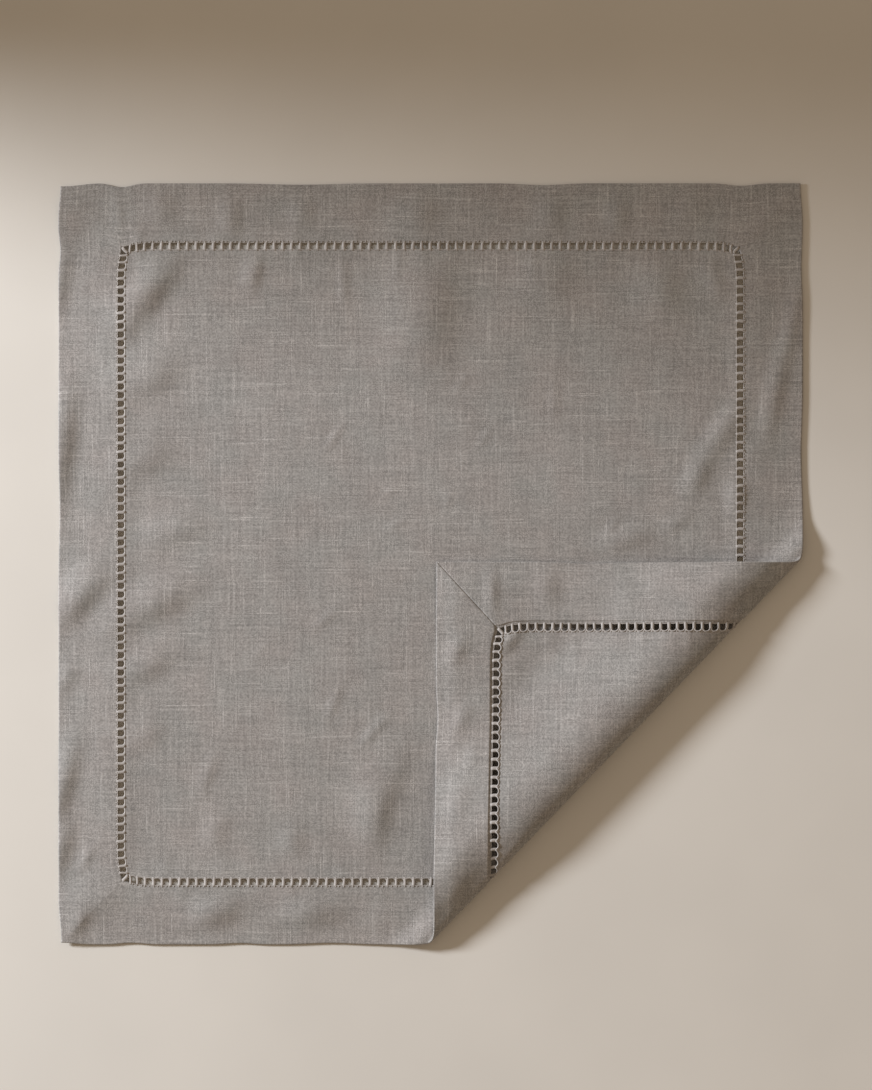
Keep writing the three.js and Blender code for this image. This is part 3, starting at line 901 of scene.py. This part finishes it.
overcast = {
    "ring": 5,
    "loopRadius": 0.42 * mm,  # thread that loops from bundle to bundle along the field, on the back
    "loopSteps": 9,
    "loopRise": 1.6 * mm,
    "loopBend": 2.5,  # over 2, a loop is flatter at its foot
    "loopInField": 0.1 * mm,
    "loopUnder": 0.1 * mm,  # behind the back of the cloth
    "loopDip": 0.2 * mm,  # a loop's ends come forward
    "edgeRadius": 0.30 * mm,  # thread along both edges of the ladder
    "edgeSteps": 7,
    "edgeWave": 0.1 * mm,
    "edgeDepth": -0.13 * mm,
    "biteRadius": 0.24 * mm,
    "bite": 0.85 * mm,  # length of a stitch into the hem
    "biteFrom": 0.25 * mm,  # it starts this far out in the ladder
    "biteLean": 0.25,
}
biteRise = [  # a stitch comes up through the cloth, lies on it and goes down again
    {"from": "start", "along": 0.0, "height": midDepth},
    {"from": "start", "along": -0.35 * mm, "height": 0.1 * mm},
    {"from": "end", "along": 0.3 * mm, "height": 0.08 * mm},
    {"from": "end", "along": 0.0, "height": midDepth},
]
gapHalf = pitchOf(sides["bottom"]) / 2


def overcastMesh(name, path, radius):
    return cordMesh(name, path, radius, radius, overcast["ring"])


def loopMesh():
    x = np.linspace(-gapHalf, gapHalf, overcast["loopSteps"])
    share = np.abs(x / gapHalf)
    y = ladderHalf + overcast["loopInField"] - overcast["loopRise"] * share ** overcast["loopBend"]
    z = overcast["loopDip"] * share - napkin["clothThickness"] - overcast["loopUnder"]
    return overcastMesh("loop", np.column_stack([x, y, z]), overcast["loopRadius"])


def edgeMesh(name, way):
    steps = overcast["edgeSteps"]
    x = np.linspace(-gapHalf, gapHalf, steps)
    y = way * ladderHalf + overcast["edgeWave"] * np.cos(np.pi * x / gapHalf)
    z = np.full(steps, overcast["edgeDepth"])
    return overcastMesh(name, np.column_stack([x, y, z]), overcast["edgeRadius"])


def biteMesh():
    ends = {"start": -ladderHalf + overcast["biteFrom"], "end": -ladderHalf - overcast["bite"]}
    y = np.array([ends[row["from"]] + row["along"] for row in biteRise])
    z = np.array([row["height"] for row in biteRise])
    x = overcast["biteLean"] * (y - ends["start"])
    return overcastMesh("bite", np.column_stack([x, y, z]), overcast["biteRadius"])


bite = biteMesh()
hemStitches = stitchPiece("hem_stitches", [
    {"stitch": loopMesh(), "turn": 0, "uneven": 0, "at": "gaps"},
    {"stitch": edgeMesh("hemEdge", -1), "turn": 0, "uneven": 0, "at": "gaps"},
    {"stitch": edgeMesh("fieldEdge", 1), "turn": 0, "uneven": 0, "at": "gaps"},
    {"stitch": bite, "turn": 0.25, "uneven": 0.15, "at": "gaps"},
    {"stitch": bite, "turn": 0.25, "uneven": 0.15, "at": "bundles"},
])
print("hem stitches:", len(hemStitches.data.polygons), "faces")

for piece in (napkinCloth, threadBundles, hemStitches):
    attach(piece, "root")
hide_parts("napkin")

# Stage: pale table, low soft light from the left, camera straight above
stage = {
    "size": 6.0,
    "paper": (0.80, 0.752, 0.665, 1),
    "paperScale": 9,
    "paperRange": (0.3, 0.7, 0.97, 1.03),
    "paperRoughness": 0.85,
    "paperGloss": 0.2,
    "lightTurn": 163,  # degrees from +x, seen from above
    "lightRise": 19.5,  # degrees over the table
    "lightAway": 2.3,
    "lightOver": (0.08, -0.08, 0.0),  # the light points at this place
    "lightRadius": 0.2,
    "lightPower": 273,
    "lightColor": (0.945, 1.0, 1.11),
    "lightSpread": 33,
    "lightBlend": 0.5,
    "shadeEdge": (-0.722, 0.313),  # a card beside the light shades the far end of the table
    "shadeReach": 4.0,
    "shadeHeight": 1.4,
    "fill": (1.18, 0.96, 0.75),
    "fillStrength": 0.26,
    "cameraHeight": 2.2,
    "viewMiddle": (2.8 * mm, 10.2 * mm),
    "viewHeight": 586 * mm,
    "viewReach": 100,
}
lightTurn = math.radians(stage["lightTurn"])


def paperMaterial():
    material, tree, shader = newMaterial("palePaper")
    coordinates = tree.nodes.new("ShaderNodeTexCoord").outputs["Object"]
    mottle = ranged(tree, clouds(tree, coordinates, stage["paperScale"], 3.0), *stage["paperRange"])
    tree.links.new(mixed(tree, 1.0, stage["paper"], mottle, "MULTIPLY"), shader.inputs["Base Color"])
    shader.inputs["Roughness"].default_value = stage["paperRoughness"]
    shader.inputs["Specular IOR Level"].default_value = stage["paperGloss"]
    return material


def stageSheet(name, corners):
    mesh = bpy.data.meshes.new(name)
    mesh.from_pydata(corners, [], [(0, 1, 2, 3)])
    sheet = bpy.data.objects.new(name, mesh)
    scene.collection.objects.link(sheet)
    return sheet


def layTable():
    half = stage["size"] / 2
    table = stageSheet("table", [(-half, -half, 0), (half, -half, 0), (half, half, 0), (-half, half, 0)])
    table.data.materials.append(paperMaterial())


def hangLight():
    rise = math.radians(stage["lightRise"])
    level = math.cos(rise)
    away = Vector((math.cos(lightTurn) * level, math.sin(lightTurn) * level, math.sin(rise)))
    lamp = bpy.data.lights.new("key", "SPOT")
    lamp.energy = stage["lightPower"]
    lamp.color = stage["lightColor"]
    lamp.shadow_soft_size = stage["lightRadius"]
    lamp.spot_size = math.radians(stage["lightSpread"])
    lamp.spot_blend = stage["lightBlend"]
    key = bpy.data.objects.new("key", lamp)
    key.location = Vector(stage["lightOver"]) + away * stage["lightAway"]
    key.rotation_euler = (-away).to_track_quat("-Z", "Y").to_euler()
    scene.collection.objects.link(key)


def standCard():
    nearX, nearY = stage["shadeEdge"]
    farX = nearX + stage["shadeReach"] * math.sin(lightTurn)
    farY = nearY - stage["shadeReach"] * math.cos(lightTurn)
    top = stage["shadeHeight"]
    corners = [(nearX, nearY, 0), (farX, farY, 0), (farX, farY, top), (nearX, nearY, top)]
    card = stageSheet("shadeCard", corners)
    card.visible_camera = False
    card.visible_diffuse = False
    card.visible_glossy = False


def fillRoom():
    world = bpy.data.worlds.new("fill")
    world.use_nodes = True
    sky = world.node_tree.nodes["Background"]
    sky.inputs["Color"].default_value = (*stage["fill"], 1)
    sky.inputs["Strength"].default_value = stage["fillStrength"]
    scene.world = world


def setCamera():
    camera = bpy.data.objects.new("camera", bpy.data.cameras.new("camera"))
    camera.location = (*stage["viewMiddle"], stage["cameraHeight"])
    camera.data.lens = camera.data.sensor_width * stage["cameraHeight"] / stage["viewHeight"]
    camera.data.clip_end = stage["viewReach"]
    scene.collection.objects.link(camera)
    scene.camera = camera


layTable()
hangLight()
standCard()
fillRoom()
setCamera()
scene.view_settings.view_transform = "Standard"
print("stage set")
